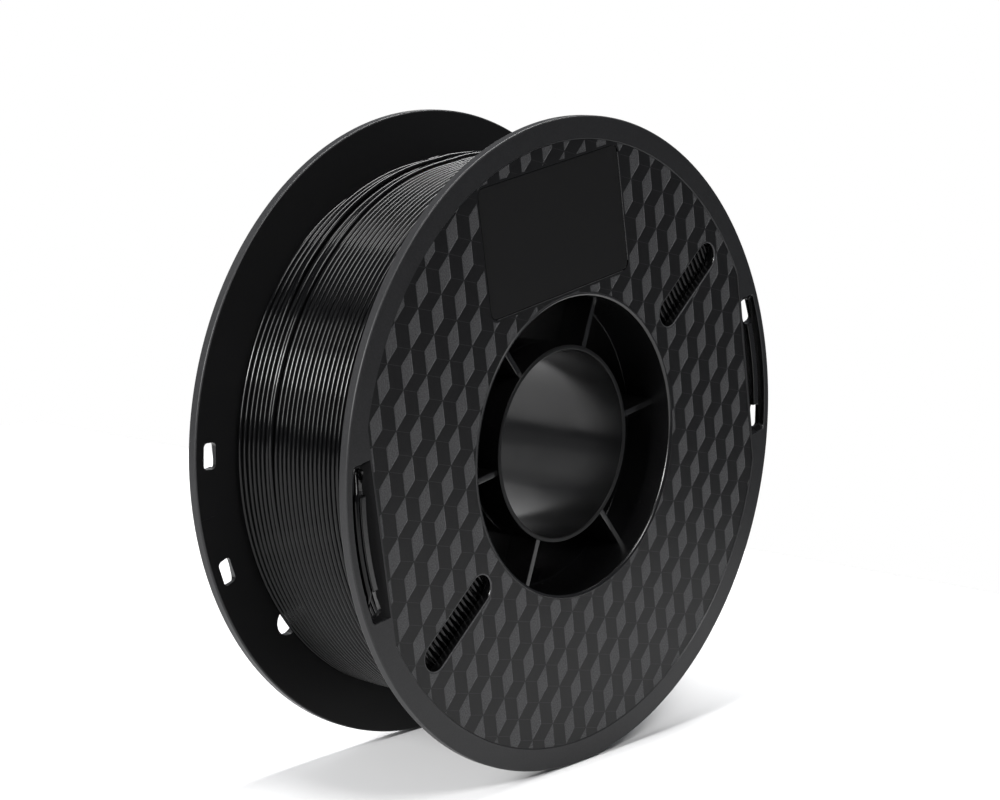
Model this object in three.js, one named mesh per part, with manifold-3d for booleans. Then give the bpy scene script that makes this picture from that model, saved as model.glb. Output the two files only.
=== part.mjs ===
// A one kilogram filament spool for 3-D printing, standing on its two rims.
// Millimetres, +Z up. The spin axis is Y, the spool's centre is the origin and the front is -Y.
import * as THREE from "three";
import { mergeVertices } from "three/addons/utils/BufferGeometryUtils.js";
import Module from "manifold-3d";

const wasm = await Module();
wasm.setup();

// Driving dimensions of the spool
const SPOOL_RADIUS = 100;
const SPOOL_WIDTH = 65;
const FLANGE_THICKNESS = 3.2;
const RIM_ROUNDING = 0.6;
const ROLL = THREE.MathUtils.degToRad(9.5); // the spool has rolled this far from label-up
const FACETS = 72; // sides of every turned surface
const GAP = 0.3; // clearance between pieces that touch
const CUT = 1; // how far a cutter runs past the face that it cuts

// Hub: a barrel under the filament, six webs and a smooth bore tube
const DRUM_RADIUS = 48.5;
const POCKET_RADIUS = 45.7;
const POCKET_MOUTH_ROUNDING = 1.3;
const BORE_RADIUS = 29;
const BORE_WALL = 1.4;
const BORE_DEPTH = 6; // from the flange face to the end of the bore tube
const WEB_COUNT = 6;
const WEB_THICKNESS = 2;
const WEB_DEPTH = 7.2;
const SEAM_DEPTH = 17.3; // where each flange's stub meets the hub core
const SEAM_STEP = 0.3; // the core stands this far proud of the stub on every pocket wall
const SKIRT_LENGTH = 4; // the stub's skirt slides over the end of the core
const SKIRT_WALL = 0.8;

// Front face of a flange, in the spool's own frame: label up, clips left and right
const FIELD_OUTER_RADIUS = 93.2;
const FIELD_INNER_RADIUS = 47;
const FIELD_HALF_WIDTH = 87.4; // straight edges beside the clips
const FIELD_DEPTH = 0.3;
const LABEL_WIDTH = 64;
const LABEL_HEIGHT = 38.6;
const LABEL_CENTRE = 67.3;
const LABEL_CORNER = 2.4;
const LABEL_THICKNESS = 0.4;
const LABEL_PANEL_DEPTH = 0.9;
const WINDOW_LENGTH = 34;
const WINDOW_WIDTH = 8.6;
const WINDOW_RADIUS = 70.4;
const WINDOW_ANGLES = [30, 210];

// Filament clips: a recess in the rim with a bar beside a groove, and a hole at each end
const CLIP_ANGLES = [0, 180];
const CLIP_OUTER_RADIUS = 97.6;
const CLIP_HALF_LENGTH = 23.4;
const CLIP_DEPTH = 2;
const CLIP_RAMP_TOP = 88;
const CLIP_RAMP_FOOT = 90.6;
const CLIP_CORNER = 1.5;
const BAR_INNER_RADIUS = 92;
const BAR_OUTER_RADIUS = 94.3;
const BAR_HALF_LENGTH = 14;
const BAR_TOP_DEPTH = 0.3;
const CLIP_HOLE = { inner: 92, outer: 96.6, low: 14.5, high: 22.4, corner: 1.3 };

// Filament
const FILAMENT_DIAMETER = 1.75;
const WINDING_RADIUS = 85;
// Slack turns stand out from the winding over part of its round; angles in degrees
const SLACK = { height: 7, middle: 48.5, reach: 41 };
const TAIL_GROOVE_RADIUS = BAR_OUTER_RADIUS + GAP + FILAMENT_DIAMETER / 2;
const TAIL_STEP = 1.7; // length of one straight step of the tail
const TAIL_SIDES = 8;
const TAIL_FIRST = 46; // the tail starts this many degrees above the middle of the clip
const TAIL_LAST = 16; // and ends this many below it
const TAIL_TURN_STEP = 1; // degrees between points of the route
const TAIL_DIP_START = 8.5; // degrees from the middle of the clip where the tail goes in
const TAIL_DIP_END = 12.8;
const TAIL_DRIFT = 0.05; // millimetres further from the flange with each degree
const TAIL_CLEARANCE = 0.1; // between the tail and the floor of the groove

const FACE = SPOOL_WIDTH / 2;
const INNER_FACE = FACE - FLANGE_THICKNESS;

const moulded = (name) =>
  new THREE.MeshStandardMaterial({ name, color: 0x191a1b, roughness: 0.42, metalness: 0 });
const glossy = (name) =>
  new THREE.MeshStandardMaterial({ name, color: 0x08090a, roughness: 0.16, metalness: 0 });
const printed = (name) =>
  new THREE.MeshStandardMaterial({ name, color: 0x1d1d1d, roughness: 0.62, metalness: 0 });

// A closed geometry as a manifold solid, and a solid as a geometry.
function solid(geometry) {
  const bare = geometry.clone();
  bare.deleteAttribute("normal");
  bare.deleteAttribute("uv");
  const merged = mergeVertices(bare, 1e-4);
  const vertProperties = merged.attributes.position.array;
  const triVerts = new Uint32Array(merged.index.array);
  return new wasm.Manifold(new wasm.Mesh({ numProp: 3, vertProperties, triVerts }));
}

function geometryOf(made) {
  const { vertProperties, triVerts } = made.getMesh();
  const geometry = new THREE.BufferGeometry();
  geometry.setAttribute("position", new THREE.BufferAttribute(vertProperties, 3));
  geometry.setIndex(new THREE.BufferAttribute(triVerts, 1));
  const flat = geometry.toNonIndexed();
  flat.computeVertexNormals();
  return flat;
}

// A ring turned about the spin axis from a closed outline of [radius, y] points. The flats,
// not the corners, lie on the nominal radius, and one flat faces straight down.
function turned(outline) {
  const reach = 1 / Math.cos(Math.PI / FACETS);
  const points = outline.map(([radius, y]) => new THREE.Vector2(radius * reach, y));
  points.push(points[0].clone());
  return solid(new THREE.LatheGeometry(points, FACETS, Math.PI / FACETS));
}

// A slab of a flat outline drawn on the flange, between two depths below the front face.
// It turns with the spool about the spin axis.
function slab(outline, fromDepth, toDepth, curveSegments = 6) {
  const depth = toDepth - fromDepth;
  const geometry = new THREE.ExtrudeGeometry(outline, { depth, bevelEnabled: false, curveSegments });
  geometry.rotateX(Math.PI / 2);
  geometry.translate(0, toDepth - FACE, 0);
  return solid(geometry.rotateY(-ROLL));
}

function circle(radius) {
  const outline = new THREE.Shape();
  outline.absarc(0, 0, radius, 0, 2 * Math.PI);
  return outline;
}

// A rounded rectangle given by its centre and size, turned about the spin axis.
function roundedBox(centreX, centreY, width, height, corner, angle = 0) {
  const cos = Math.cos(angle);
  const sin = Math.sin(angle);
  const outline = new THREE.Shape();
  const quarter = Math.PI / 2;
  const corners = [[1, 1, 0], [-1, 1, 1], [-1, -1, 2], [1, -1, 3]];
  for (const [sideX, sideY, turns] of corners) {
    const x = centreX + sideX * (width / 2 - corner);
    const y = centreY + sideY * (height / 2 - corner);
    const start = turns * quarter + angle;
    outline.absarc(x * cos - y * sin, x * sin + y * cos, corner, start, start + quarter);
  }
  return outline;
}

// The outline between two radii, cut off square at a half length to each side of an angle.
function arcStrip(inner, outer, halfLength, angle) {
  const outline = new THREE.Shape();
  const outerReach = Math.asin(halfLength / outer);
  const innerReach = Math.asin(halfLength / inner);
  outline.absarc(0, 0, outer, angle - outerReach, angle + outerReach);
  outline.absarc(0, 0, inner, angle + innerReach, angle - innerReach, true);
  return outline;
}

// The turned body of one flange with its stub: disc, barrel wall and the skirt over the core.
function flangeBody() {
  const rim = SPOOL_RADIUS;
  const half = RIM_ROUNDING * (1 - Math.SQRT1_2);
  const mouth = POCKET_MOUTH_ROUNDING;
  const at = (depth) => depth - FACE;
  return turned([
    [POCKET_RADIUS + mouth, at(0)],
    [rim - RIM_ROUNDING, at(0)],
    [rim - half, at(half)],
    [rim, at(RIM_ROUNDING)],
    [rim, at(FLANGE_THICKNESS - RIM_ROUNDING)],
    [rim - half, at(FLANGE_THICKNESS - half)],
    [rim - RIM_ROUNDING, at(FLANGE_THICKNESS)],
    [DRUM_RADIUS, at(FLANGE_THICKNESS)],
    [DRUM_RADIUS, at(SEAM_DEPTH + SKIRT_LENGTH)],
    [DRUM_RADIUS - SKIRT_WALL, at(SEAM_DEPTH + SKIRT_LENGTH)],
    [DRUM_RADIUS - SKIRT_WALL, at(SEAM_DEPTH)],
    [POCKET_RADIUS, at(SEAM_DEPTH)],
    [POCKET_RADIUS, at(mouth)],
    [POCKET_RADIUS + mouth * (1 - Math.SQRT1_2), at(mouth * (1 - Math.SQRT1_2))],
  ]);
}

// The six webs between the bore tube and the barrel, between two depths.
function webs(inner, outer, thickness, fromDepth, toDepth) {
  const arms = [];
  for (let i = 0; i < WEB_COUNT; i += 1) {
    const angle = (i * 2 * Math.PI) / WEB_COUNT;
    const outline = roundedBox((inner + outer) / 2, 0, outer - inner, thickness, 0.01, angle);
    arms.push(slab(outline, fromDepth, toDepth, 1));
  }
  return arms;
}

// The end of the bore tube inside one flange's stub.
function boreStub() {
  const front = BORE_DEPTH - FACE;
  const back = SEAM_DEPTH - FACE;
  const outer = BORE_RADIUS + BORE_WALL;
  return turned([[BORE_RADIUS, front], [outer, front], [outer, back], [BORE_RADIUS, back]]);
}

// The patterned field: a shallow ring-shaped recess with straight edges beside the clips.
function fieldRecess() {
  const outline = new THREE.Shape();
  const reach = Math.acos(FIELD_HALF_WIDTH / FIELD_OUTER_RADIUS);
  outline.absarc(0, 0, FIELD_OUTER_RADIUS, reach, Math.PI - reach);
  outline.absarc(0, 0, FIELD_OUTER_RADIUS, Math.PI + reach, 2 * Math.PI - reach);
  outline.holes.push(circle(FIELD_INNER_RADIUS));
  return slab(outline, -CUT, FIELD_DEPTH, FACETS / 3);
}

function labelOutline(margin) {
  const width = LABEL_WIDTH + 2 * margin;
  const height = LABEL_HEIGHT + 2 * margin;
  return roundedBox(0, LABEL_CENTRE, width, height, LABEL_CORNER + margin);
}

function windowSlot(degrees) {
  const angle = THREE.MathUtils.degToRad(degrees);
  const corner = WINDOW_WIDTH / 2 - 0.01;
  const outline = roundedBox(WINDOW_RADIUS, 0, WINDOW_LENGTH, WINDOW_WIDTH, corner, angle);
  return slab(outline, -CUT, FLANGE_THICKNESS + CUT);
}

// The sloping side of a clip recess, from the flange face down to the recess floor.
function clipRamp(side) {
  const lift = CUT / CLIP_DEPTH;
  const run = (CLIP_RAMP_FOOT - CLIP_RAMP_TOP) * lift;
  const profile = new THREE.Shape([
    new THREE.Vector2(CLIP_RAMP_TOP - run, FACE + CUT),
    new THREE.Vector2(CLIP_RAMP_FOOT, FACE - CLIP_DEPTH),
    new THREE.Vector2(CLIP_RAMP_FOOT + CUT, FACE - CLIP_DEPTH),
    new THREE.Vector2(CLIP_RAMP_FOOT + CUT, FACE + CUT),
  ]);
  const depth = 2 * CLIP_HALF_LENGTH;
  const geometry = new THREE.ExtrudeGeometry(profile, { depth, bevelEnabled: false });
  geometry.translate(0, 0, -CLIP_HALF_LENGTH);
  geometry.rotateX(Math.PI);
  if (side < 0) geometry.rotateY(Math.PI);
  return solid(geometry.rotateY(-ROLL));
}

// What is cut away for one clip: the ramp, the sunk floor around the bar, and the two holes.
function clipCutter(degrees) {
  const angle = THREE.MathUtils.degToRad(degrees);
  const side = Math.cos(angle);
  const sunk = new THREE.Shape();
  const reach = Math.asin((CLIP_HALF_LENGTH - CLIP_CORNER) / (CLIP_OUTER_RADIUS - CLIP_CORNER));
  const cornerX = (CLIP_OUTER_RADIUS - CLIP_CORNER) * Math.cos(reach);
  const cornerY = CLIP_HALF_LENGTH - CLIP_CORNER;
  sunk.moveTo(CLIP_RAMP_FOOT, -CLIP_HALF_LENGTH);
  sunk.absarc(cornerX, -cornerY, CLIP_CORNER, -Math.PI / 2, -reach);
  sunk.absarc(0, 0, CLIP_OUTER_RADIUS, -reach, reach);
  sunk.absarc(cornerX, cornerY, CLIP_CORNER, reach, Math.PI / 2);
  sunk.lineTo(CLIP_RAMP_FOOT, CLIP_HALF_LENGTH);
  const turn = (outline) => new THREE.Shape(outline.getPoints(8).map((p) => p.multiplyScalar(side)));
  const bar = turn(arcStrip(BAR_INNER_RADIUS, BAR_OUTER_RADIUS, BAR_HALF_LENGTH, 0));
  let cutter = slab(turn(sunk), -CUT, CLIP_DEPTH).add(clipRamp(side));
  cutter = cutter.subtract(slab(bar, BAR_TOP_DEPTH, CLIP_DEPTH + CUT));
  const { inner, outer, low, high, corner } = CLIP_HOLE;
  for (const end of [-1, 1]) {
    const middle = end * (low + high) / 2;
    const lean = Math.asin(middle / outer);
    const centre = Math.hypot(middle, (inner + outer) / 2 * Math.cos(lean));
    const hole = roundedBox(centre, 0, outer - inner, high - low, corner, lean + (side < 0 ? Math.PI : 0));
    cutter = cutter.add(slab(hole, 0, FLANGE_THICKNESS + CUT, 4));
  }
  return cutter;
}

// One flange moulding, made as the front one; the rear one is its mirror image.
function flange() {
  const bore = BORE_RADIUS + BORE_WALL / 2;
  let made = flangeBody().add(boreStub());
  for (const web of webs(bore, POCKET_RADIUS + 1, WEB_THICKNESS, WEB_DEPTH, SEAM_DEPTH)) {
    made = made.add(web);
  }
  made = made.subtract(fieldRecess());
  made = made.subtract(slab(labelOutline(GAP), -CUT, LABEL_PANEL_DEPTH, 4));
  for (const angle of WINDOW_ANGLES) made = made.subtract(windowSlot(angle));
  for (const angle of CLIP_ANGLES) made = made.subtract(clipCutter(angle));
  return geometryOf(made);
}

// The middle moulding of the hub, between the two stubs.
function hubCore() {
  const half = FACE - SEAM_DEPTH - GAP;
  const shoulder = FACE - SEAM_DEPTH - SKIRT_LENGTH - GAP;
  const seat = DRUM_RADIUS - SKIRT_WALL - GAP;
  const inner = POCKET_RADIUS - SEAM_STEP;
  let made = turned([
    [inner, -half],
    [seat, -half],
    [seat, -shoulder],
    [DRUM_RADIUS, -shoulder],
    [DRUM_RADIUS, shoulder],
    [seat, shoulder],
    [seat, half],
    [inner, half],
  ]);
  const outer = BORE_RADIUS + BORE_WALL + SEAM_STEP;
  made = made.add(turned([[BORE_RADIUS, -half], [outer, -half], [outer, half], [BORE_RADIUS, half]]));
  const bore = BORE_RADIUS + BORE_WALL / 2;
  const thickness = WEB_THICKNESS + 2 * SEAM_STEP;
  for (const web of webs(bore, POCKET_RADIUS + 0.5, thickness, FACE - half, FACE + half)) {
    made = made.add(web);
  }
  return geometryOf(made);
}

// How far the slack turns stand out at an angle about the spin axis, in degrees.
function slack(degrees) {
  const share = Math.min(1, Math.abs(degrees - SLACK.middle) / SLACK.reach);
  return SLACK.height * Math.cos(share * Math.PI / 2) ** 2;
}

// The wound filament as one closed ring between the flanges, round but for its slack turns.
function winding() {
  const half = INNER_FACE - GAP;
  const inner = DRUM_RADIUS + GAP;
  const outer = WINDING_RADIUS + 2 * SLACK.height;
  const flats = 1 / Math.cos(Math.PI / FACETS);
  const corners = [];
  for (let i = 0; i < FACETS; i += 1) {
    const angle = (2 * i + 1) * Math.PI / FACETS - ROLL;
    const radius = (WINDING_RADIUS + slack(THREE.MathUtils.radToDeg(angle))) * flats;
    corners.push(new THREE.Vector2(radius * Math.cos(angle), radius * Math.sin(angle)));
  }
  const ring = turned([[inner, -half], [outer, -half], [outer, half], [inner, half]]);
  return geometryOf(ring.intersect(slab(new THREE.Shape(corners), FACE - half, FACE + half)));
}

// How deep the tail lies at an angle past the middle of the clip: in the groove beside the
// bar, then slanting through the hole to the space behind the flange.
function tailDepth(degrees) {
  const groove = CLIP_DEPTH - FILAMENT_DIAMETER / 2 - TAIL_CLEARANCE;
  const behind = FLANGE_THICKNESS + GAP + FILAMENT_DIAMETER / 2;
  const through = THREE.MathUtils.smoothstep(degrees, TAIL_DIP_START, TAIL_DIP_END);
  const beyond = Math.max(0, degrees - TAIL_DIP_END);
  return THREE.MathUtils.lerp(groove, behind, through) + beyond * TAIL_DRIFT;
}

// The free end of the filament. It leaves the winding on a tangent beside the front flange,
// comes out through the upper hole of the left clip, lies along the groove, goes in at the
// lower hole and ends behind the flange.
function tail() {
  const radius = FILAMENT_DIAMETER / 2;
  const onWinding = WINDING_RADIUS + GAP + radius;
  const lift = Math.acos(onWinding / TAIL_GROOVE_RADIUS);
  const leaves = THREE.MathUtils.degToRad(TAIL_DIP_START) + lift;
  const points = [];
  for (let degrees = TAIL_FIRST; degrees >= -TAIL_LAST; degrees -= TAIL_TURN_STEP) {
    const past = THREE.MathUtils.degToRad(degrees);
    const climb = THREE.MathUtils.clamp(leaves - past, 0, lift);
    const distance = onWinding / Math.cos(climb);
    const depth = tailDepth(Math.abs(degrees));
    const across = -distance * Math.cos(past);
    points.push(new THREE.Vector3(across, depth - FACE, distance * Math.sin(past)));
  }
  const extrudePath = new THREE.CatmullRomCurve3(points, false, "centripetal");
  const steps = Math.ceil(extrudePath.getLength() / TAIL_STEP);
  const section = new THREE.Shape();
  section.absarc(0, 0, radius, 0, 2 * Math.PI);
  const options = { steps, extrudePath, curveSegments: TAIL_SIDES / 2, bevelEnabled: false };
  const geometry = new THREE.ExtrudeGeometry(section, options);
  return geometryOf(solid(geometry.rotateY(-ROLL)));
}

// The label on the front flange's panel, left blank.
function label() {
  const top = LABEL_PANEL_DEPTH - GAP - LABEL_THICKNESS;
  return geometryOf(slab(labelOutline(0), top, top + LABEL_THICKNESS, 4));
}

function mesh(name, geometry, material) {
  const made = new THREE.Mesh(geometry, material);
  made.name = name;
  return made;
}

const spool = new THREE.Group();
const flangeGeometry = flange();
const frontFlange = mesh("front_flange", flangeGeometry, moulded("black_plastic"));
const rearFlange = mesh("rear_flange", flangeGeometry, moulded("black_plastic"));
rearFlange.scale.y = -1;
spool.add(
  frontFlange,
  rearFlange,
  mesh("hub_core", hubCore(), moulded("black_plastic")),
  mesh("filament_winding", winding(), glossy("black_filament")),
  mesh("filament_tail", tail(), glossy("black_filament")),
  mesh("front_label", label(), printed("label_paper")),
);

export default spool;
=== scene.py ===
"""A one kilogram spool of black 3-D printing filament, standing on its two rims.

Lengths are millimetres until a mesh is made. Flange outlines are drawn in the spool's own
frame, [x, z] with the label up and seen from the front, and depth counts from the outer face
of a flange into the spool. Every piece is turned by ROLL about the spin axis, Y, at the end.
"""

import math

import bmesh
import bpy
from mathutils import Matrix, Vector, noise


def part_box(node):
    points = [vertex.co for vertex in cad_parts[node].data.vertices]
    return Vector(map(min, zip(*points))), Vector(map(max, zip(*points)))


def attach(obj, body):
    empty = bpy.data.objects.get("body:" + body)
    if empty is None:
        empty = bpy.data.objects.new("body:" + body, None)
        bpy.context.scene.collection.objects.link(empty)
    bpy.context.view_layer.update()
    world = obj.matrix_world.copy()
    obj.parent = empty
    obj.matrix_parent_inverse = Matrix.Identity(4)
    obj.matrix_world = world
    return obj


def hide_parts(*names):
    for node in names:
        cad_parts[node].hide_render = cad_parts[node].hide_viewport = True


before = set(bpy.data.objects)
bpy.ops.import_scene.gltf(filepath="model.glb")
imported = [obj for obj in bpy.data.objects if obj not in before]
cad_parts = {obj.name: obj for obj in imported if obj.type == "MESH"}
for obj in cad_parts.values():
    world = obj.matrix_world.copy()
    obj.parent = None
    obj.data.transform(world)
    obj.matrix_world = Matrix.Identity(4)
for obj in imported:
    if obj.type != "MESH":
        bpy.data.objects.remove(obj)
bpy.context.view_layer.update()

MM = 0.001
ROLL = math.radians(9.5)
STANDING = Matrix.Rotation(-ROLL, 4, "Y")


def farthest(node, axis):
    """How far a CAD node reaches along an axis, in millimetres."""
    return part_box(node)[1][axis] / MM


# Sizes taken from the frame
RIM_RADIUS = farthest("front_flange", 2)
FACE = farthest("rear_flange", 1)
DRUM_RADIUS = farthest("hub_core", 0)
WINDING_RADIUS = farthest("filament_winding", 0)

# Clearance between the filament and what it lies against
GAP = 0.3

# Hub
FLANGE_THICKNESS = 3.2
RIM_ROUNDING = 0.6
SEAM_DEPTH = 17.3
POCKET_RADIUS = 45.7
MOUTH_ROUNDING = 1.0
BORE_RADIUS = 29.0
BORE_WALL = 1.4
BORE_DEPTH = 6.0
BORE_LIP = 0.35
WEB_COUNT = 6
WEB_THICKNESS = 2.0
WEB_DEPTH = 7.2
WEB_ROUNDING = 0.3
WEB_ROOT = 0.9
SEAM_STEP = 0.3
SEAM_GAP = 0.02
SKIRT_WALL = 0.8
SKIRT_LENGTH = 4.0
SKIRT_GAP = 0.2
CORE_LIP = 0.08
CORE_WEB_ROUNDING = 0.12

# Flange face
FIELD_OUTER = 93.2
FIELD_INNER = 46.75
FIELD_HALF_WIDTH = 87.4
FIELD_DEPTH = 0.3
FIELD_SLOPE = 0.25
LABEL_SIZE = (64.0, 38.6)
LABEL_CENTRE = 67.3
LABEL_CORNER = 2.4
LABEL_TOP_DEPTH = 0.45
LABEL_THICKNESS = 0.2
LABEL_EDGE = 0.08
PANEL_DEPTH = 0.75
PANEL_MARGIN = 0.35
PANEL_ROUNDING = 0.25
WINDOW_SIZE = (34.0, 8.6)
WINDOW_RADIUS = 70.4
WINDOW_ANGLES = (30, 210)
WINDOW_ROUNDING = 0.5

# Tumbling-block pattern: the three edges of a block, and the corner of one light face
BLOCK_RISE = Vector((4.73, 3.60))
BLOCK_FALL = Vector((5.19, -2.11))
BLOCK_DROP = Vector((-0.13, -6.92))
BLOCK_ORIGIN = Vector((-76.2, 35.1))
BLOCK_INSET = 0.04
BLOCK_SLOPE = 0.12
BLOCK_DEPTH = 0.1
CREASE_WIDTH = 0.14
CREASE_DEPTH = 0.028
CREASE_GAP = 0.06

# How far the pattern stays away from the field's edge, the label and the windows
EDGE_MARGIN = 0.35
LABEL_CLEARANCE = 1.0
WINDOW_CLEARANCE = 0.7

# Filament clips
CLIP_SIDES = (1, -1)
CLIP_OUTER = 97.6
CLIP_HALF_LENGTH = 23.4
CLIP_DEPTH = 2.0
CLIP_CORNER = 1.5
CLIP_ROUNDING = 0.3
CLIP_RAMP_TOP = 88.0
CLIP_RAMP_FOOT = 90.6
CLIP_END_SLOPE = 0.75
BAR_RADII = (92.0, 94.3)
BAR_HALF_LENGTH = 14.0
BAR_TOP_DEPTH = 0.3
BAR_ROUNDING = 0.35
HOLE_RADII = (92.0, 96.6)
HOLE_SPAN = (14.5, 22.4)
HOLE_CORNER = 1.3
HOLE_MOUTH_DEPTH = 0.4

# A hair-fine ridge beside a clip, on the inner face
MOULD_LINE_RADII = (94.2, 99.6)
MOULD_LINE_WIDTH = 0.14
MOULD_LINE_HEIGHT = 0.06

# Filament: its diameter, and where the centres of its turns lie
FILAMENT = 1.75
STRAND = FILAMENT / 2
PITCH = 1.79
LAYER_RISE = FILAMENT * 0.87
ON_WINDING = WINDING_RADIUS + GAP + STRAND
EDGE = FACE - FLANGE_THICKNESS - STRAND - GAP / 2

# The free end: its radius in the groove, and places on the round in degrees, of which TAIL_DIP
# and TAIL_END count from the middle of the clip and TAIL_START from the +X side
TAIL_RADIUS = BAR_RADII[1] + GAP + STRAND
TAIL_DIP = (8.5, 12.8)
TAIL_END = -16
TAIL_START = 134.0
TAIL_OVERLAP = 0.5

# Extra pitch of the outer layer and the share of the width it fades over, at each flange
FRONT_GAP = (0.9, 0.05)
REAR_GAP = (0.6, 0.07)

# Extra pitch towards the rear, where it begins and how far it takes to come in, as shares
REAR_SPREAD = (0.08, 0.55, 0.2)

# The last turn, in turns: its length, and how long it takes to climb onto the layer
LEAD_TURNS = 1.15
CLIMB_TURNS = 0.14

# How deep the outer layer dives under at its far end, and over how many turns
DIVE_DEPTH = 2.6
DIVE_TURNS = 0.12

# Unevenness of the outer turns: in their pitch, their radius and sideways
UNEVEN_PITCH = 0.07
RADIUS_WAVE = 0.10
SIDE_WAVE = 0.07

# Turns that lie against a flange: how many, and how far off the two kinds of row stand
SIDE_ROWS = 36
SIDE_ROW_GAPS = (0.15, 0.95)
SIDE_ROW_NEAREST = 0.12
SIDE_ROW_WIDTH = 1.9

# Slack turns: how far they stand out, and where on the round, in degrees
SLACK_HEIGHT = 7.0
SLACK_MIDDLE = 48.5
SLACK_REACH = 41.0

# Turns that cross their neighbours: place and half length in turns, sideways shift, lift
STRAYS = (
    (24.04, 0.20, -0.35, 1.0),
    (27.08, 0.12, 0.35, 1.0),
    (21.30, 0.16, 0.3, 0.95),
    (9.62, 0.22, 0.3, 0.95),
)

# Mesh steps round the spool, the outer layer, the hidden turns and a small rounding
ROUND_STEPS = 256
OUTER_STEPS = 180
INNER_STEPS = 144
ROUNDING_STEPS = 6

# How far a cutter reaches past what it cuts
CUT = 1.0

# Edges that turn by more than this are shaded sharp
SHARP_ANGLE = math.radians(28)
TAIL_SHARP_ANGLE = math.radians(50)

# Finishes of black plastic: tone, roughness and specular level
FINISHES = {
    "satin_plastic": (0.012, 0.36, 0.15),
    # dull: the dark faces of the pattern; the same darker tone on the inner faces is painted shade
    "dull_and_shade_plastic": (0.005, 0.36, 0.12),
    # glossy: real gloss for the edge highlights; its darker tone in the recesses and window walls is
    # painted shade
    "glossy_and_shade_plastic": (0.002, 0.2, 0.4),
    # matt: painted shade, a darker copy with little reflection for the clips' sloping faces
    "matt_shade_plastic": (0.004, 0.5, 0.04),
}

# The middle part of a noise, which a colour or a roughness follows
NOISE_RANGE = (0.3, 0.7)

# Camera: angles in degrees, lengths in metres, the lens and sensor in millimetres
CAMERA_AZIMUTH = -48.68
CAMERA_ELEVATION = 10.06
CAMERA_DISTANCE = 0.7462
CAMERA_AIM_RIGHT = 0.0003
CAMERA_AIM_UP = 0.0106
CAMERA_LENS = 85.83
CAMERA_SENSOR = 36

# Floor edges in metres: left, right, front, back
FLOOR_EDGES = (-2.4, 0.28, -0.35, 0.6)
FLOOR_CELLS = 24

# Softboxes: place and aim in metres, width and height in metres, power in watts
SOFTBOXES = {
    "left_softbox": ((-2.15, -0.1, 0.96), (0, 0, 0), (0.55, 1.6), 78),
    "left_core": ((-2.05, -0.1, 0.95), (0, 0, 0), (0.3, 0.5), 62),
    "rear_left": ((-1.3, 1.5, 0.75), (0, 0, 0), (1.6, 1.4), 2.2),
    "bore_light": ((0.045, 0.13, 0.085), (0, 0, 0), (0.11, 0.09), 0.055),
    "bore_fill": ((-0.07, 0.13, 0.085), (0, 0, 0), (0.12, 0.09), 0.02),
    "top_softbox": ((0.42, 0.05, 1.2), (0.42, 0.05, 0), (1.57, 0.2), 36),
    "front_key": ((-0.25, -1.0, 1.15), (0, 0, 0), (0.7, 0.45), 18.5),
}

# Brightness of the surround, for the camera and for everything else
SEEN_WORLD = 1.0
LIGHTING_WORLD = 0.22


# ---------------------------------------------------------------- mesh helpers

def linked(name, data):
    """A new object in the scene around a mesh, a light or a camera."""
    obj = bpy.data.objects.new(name, data)
    bpy.context.scene.collection.objects.link(obj)
    return obj


def mesh_object(name, points, faces):
    """A mesh object from points in millimetres, with its faces turned outwards."""
    mesh = bpy.data.meshes.new(name)
    mesh.from_pydata([Vector(p) * MM for p in points], [], faces)
    made = bmesh.new()
    made.from_mesh(mesh)
    bmesh.ops.recalc_face_normals(made, faces=made.faces)
    made.to_mesh(mesh)
    made.free()
    return linked(name, mesh)


def turned_ring(name, outline):
    """A closed outline of [radius, y] turned about the spin axis."""
    points = []
    faces = []
    count = len(outline)
    for i in range(ROUND_STEPS):
        angle = 2 * math.pi * i / ROUND_STEPS
        cos, sin = math.cos(angle), math.sin(angle)
        points += [(r * cos, y, r * sin) for r, y in outline]
        a, b = i * count, (i + 1) % ROUND_STEPS * count
        for j in range(count):
            k = (j + 1) % count
            faces.append((a + j, a + k, b + k, b + j))
    return mesh_object(name, points, faces)


def loft(name, levels):
    """Closed solids from levels of [depth, outline]. Several outlines make several solids."""
    points = []
    faces = []
    for stack in levels:
        base = len(points)
        count = len(stack[0][1])
        for depth, outline in stack:
            points += [(x, depth, z) for x, z in outline]
        for level in range(len(stack) - 1):
            a = base + level * count
            b = a + count
            for j in range(count):
                k = (j + 1) % count
                faces.append((a + j, a + k, b + k, b + j))
        faces.append(tuple(range(base, base + count)))
        last = base + (len(stack) - 1) * count
        faces.append(tuple(reversed(range(last, last + count))))
    return mesh_object(name, points, faces)


def applied(obj):
    """The object with its modifiers made real."""
    graph = bpy.context.evaluated_depsgraph_get()
    mesh = bpy.data.meshes.new_from_object(obj.evaluated_get(graph), depsgraph=graph)
    obj.modifiers.clear()
    obj.data = mesh
    return obj


def combine(obj, operation, *others):
    """Boolean of an object with others, which are used up."""
    for other in others:
        step = obj.modifiers.new("combine", "BOOLEAN")
        step.operation = operation
        step.solver = "MANIFOLD"
        step.object = other
        applied(obj)
        bpy.data.objects.remove(other)
    return obj


def arc(centre, radius, start, end, steps):
    """Points on an arc, ends included. Angles in radians."""
    cx, cz = centre
    turn = (end - start) / steps
    return [
        (cx + radius * math.cos(start + turn * i), cz + radius * math.sin(start + turn * i))
        for i in range(steps + 1)
    ]


def rounded_box(centre, size, corner, angle=0.0, steps=8):
    """A rounded rectangle; its centre and sides turn by an angle about the spin axis."""
    points = []
    quarter = math.pi / 2
    for i, (side_x, side_z) in enumerate(((1, 1), (-1, 1), (-1, -1), (1, -1))):
        x = centre[0] + side_x * (size[0] / 2 - corner)
        z = centre[1] + side_z * (size[1] / 2 - corner)
        points += arc((x, z), corner, i * quarter, (i + 1) * quarter, steps)
    cos, sin = math.cos(angle), math.sin(angle)
    return [(x * cos - z * sin, x * sin + z * cos) for x, z in points]


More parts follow.
